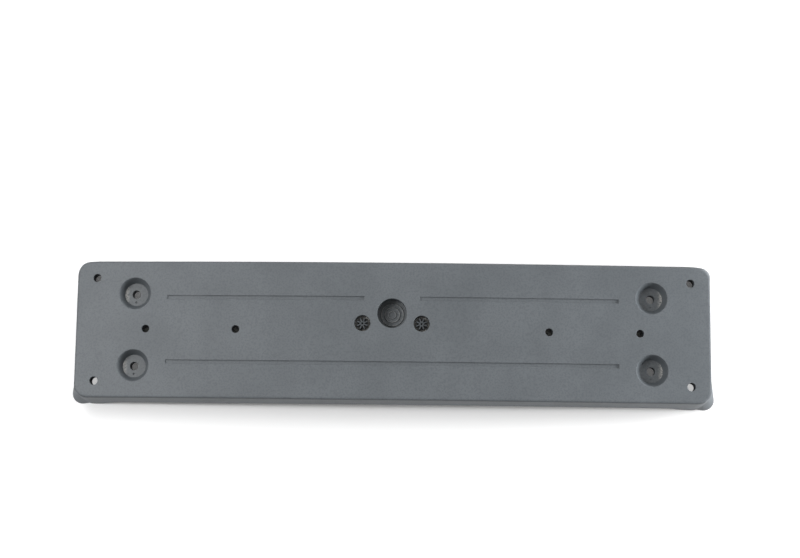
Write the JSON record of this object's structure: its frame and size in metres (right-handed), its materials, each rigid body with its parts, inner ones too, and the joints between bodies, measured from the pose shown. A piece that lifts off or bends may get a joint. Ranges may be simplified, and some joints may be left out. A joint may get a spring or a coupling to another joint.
{
  "type": "number plate holder",
  "caption": "One-piece moulded plastic holder that carries a car number plate on a curved bumper, with screw wells, plate screw holes and a ribbed back.",
  "frame": {"origin": "under the middle of the face, in the plane of the two end feet that it lies on", "axes": "+X along the length, +Y towards the upper edge of the plate, +Z out of the face that carries the plate; lying face up"},
  "size_m": [0.5356, 0.1207, 0.0334],
  "materials": {
    "moulded_plastic": "matte dark grey, fine moulded grain"
  },
  "bodies": {
    "root": {"plate_holder": "moulded_plastic"}
  },
  "joints": []
}
